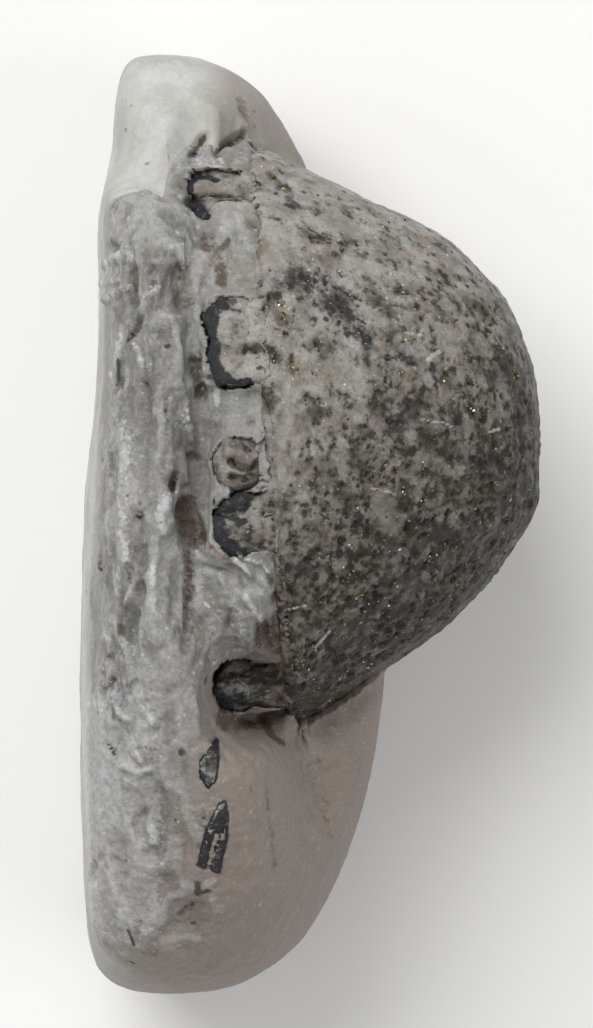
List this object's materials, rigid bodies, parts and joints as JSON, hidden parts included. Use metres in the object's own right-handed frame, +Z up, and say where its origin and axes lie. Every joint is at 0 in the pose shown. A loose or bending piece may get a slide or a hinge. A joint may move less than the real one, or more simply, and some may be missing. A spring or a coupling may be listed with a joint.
{
  "type": "fossil crinoid in matrix",
  "caption": "Domed cup of a sea lily with broken arm stumps along its rim, half out of a rounded lump of pale limestone that lies on its worn side.",
  "frame": {"origin": "centre of the bounding box at its bottom, on the surface that the worn far side of the rock lies on", "axes": "+Z up from that surface, +Y along the specimen's long axis towards the end with the first pair of arms, +X towards the bulge of the cup"},
  "size_m": [0.0305, 0.063, 0.037],
  "materials": {
    "limestone": "matte",
    "mottled_calcite": "satin",
    "dark_calcite": "satin",
    "pyrite": "gloss"
  },
  "bodies": {
    "root": {"matrix": "limestone", "calyx": "mottled_calcite", "loose_ossicle": "mottled_calcite", "arm_1a": "dark_calcite", "arm_1b": "dark_calcite", "arm_2a": "dark_calcite", "arm_2b": "dark_calcite", "arm_3a": "dark_calcite", "arm_3b": "dark_calcite", "arm_4": "dark_calcite", "fragment_small": "dark_calcite", "fragment_fork": "dark_calcite"}
  },
  "joints": []
}
